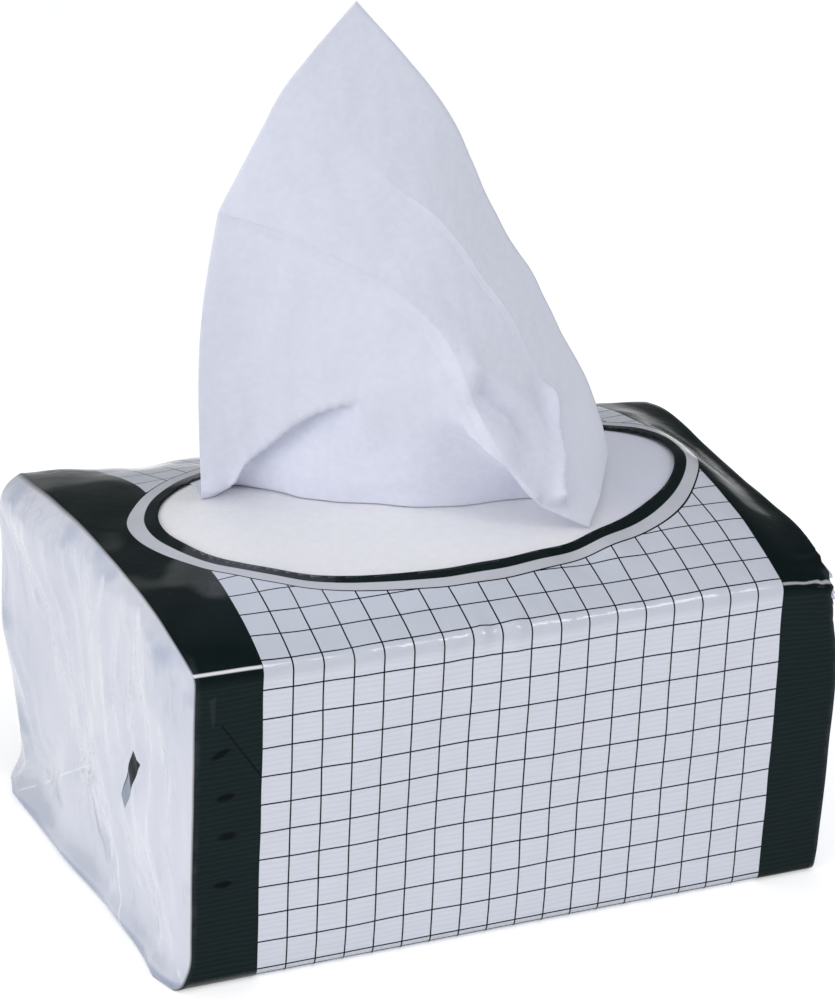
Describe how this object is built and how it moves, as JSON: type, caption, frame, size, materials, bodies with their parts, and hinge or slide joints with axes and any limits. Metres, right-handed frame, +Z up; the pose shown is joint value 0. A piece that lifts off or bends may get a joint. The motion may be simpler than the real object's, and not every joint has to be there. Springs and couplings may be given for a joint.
{
  "type": "soft pack of polishing wipes",
  "caption": "Soft film pack of folded polishing wipes with an arched top, envelope-folded ends and an oval mouth through which a wipe stands pulled up.",
  "frame": {"origin": "middle of the base, on the surface that the pack stands on", "axes": "+X along the pack, -Y out of the front face, +Z up through the mouth"},
  "size_m": [0.2497, 0.15, 0.2959],
  "materials": {
    "film": "glossy clear film over white wipes, with a dark band round each end, a thin dark check between them and a dark ring round the mouth",
    "wipe": "soft matt white nonwoven"
  },
  "bodies": {
    "root": {"film_wrapper": "film", "wipe_stack": "wipe", "next_wipe": "wipe", "pulled_wipe": "wipe"}
  },
  "joints": []
}
